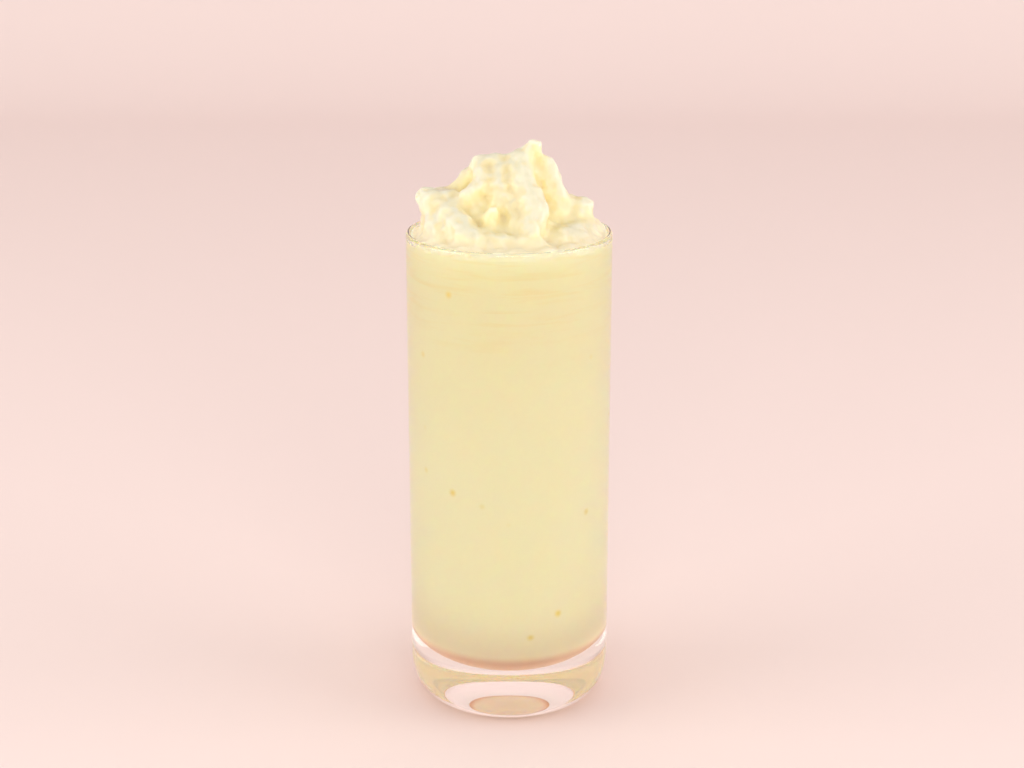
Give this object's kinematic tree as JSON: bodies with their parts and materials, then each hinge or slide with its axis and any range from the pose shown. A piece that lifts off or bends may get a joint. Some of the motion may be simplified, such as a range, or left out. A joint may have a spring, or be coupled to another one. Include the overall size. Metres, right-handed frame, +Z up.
{
  "type": "pineapple smoothie in a tall glass",
  "caption": "Frozen pineapple smoothie filling a tall straight clear glass and heaped in craggy slush above the brim, for serving as a cold drink.",
  "frame": {"origin": "centre of the glass's foot, on the surface it stands on", "axes": "+Z up along the glass's axis, -Y towards the viewer in front, +X to that viewer's right"},
  "size_m": [0.064, 0.064, 0.1826],
  "materials": {
    "clear_glass": "clear, fire-polished",
    "pineapple_slush": "wet frozen slush, softly glossy"
  },
  "bodies": {
    "root": {"glass": "clear_glass", "smoothie": "pineapple_slush"}
  },
  "joints": []
}
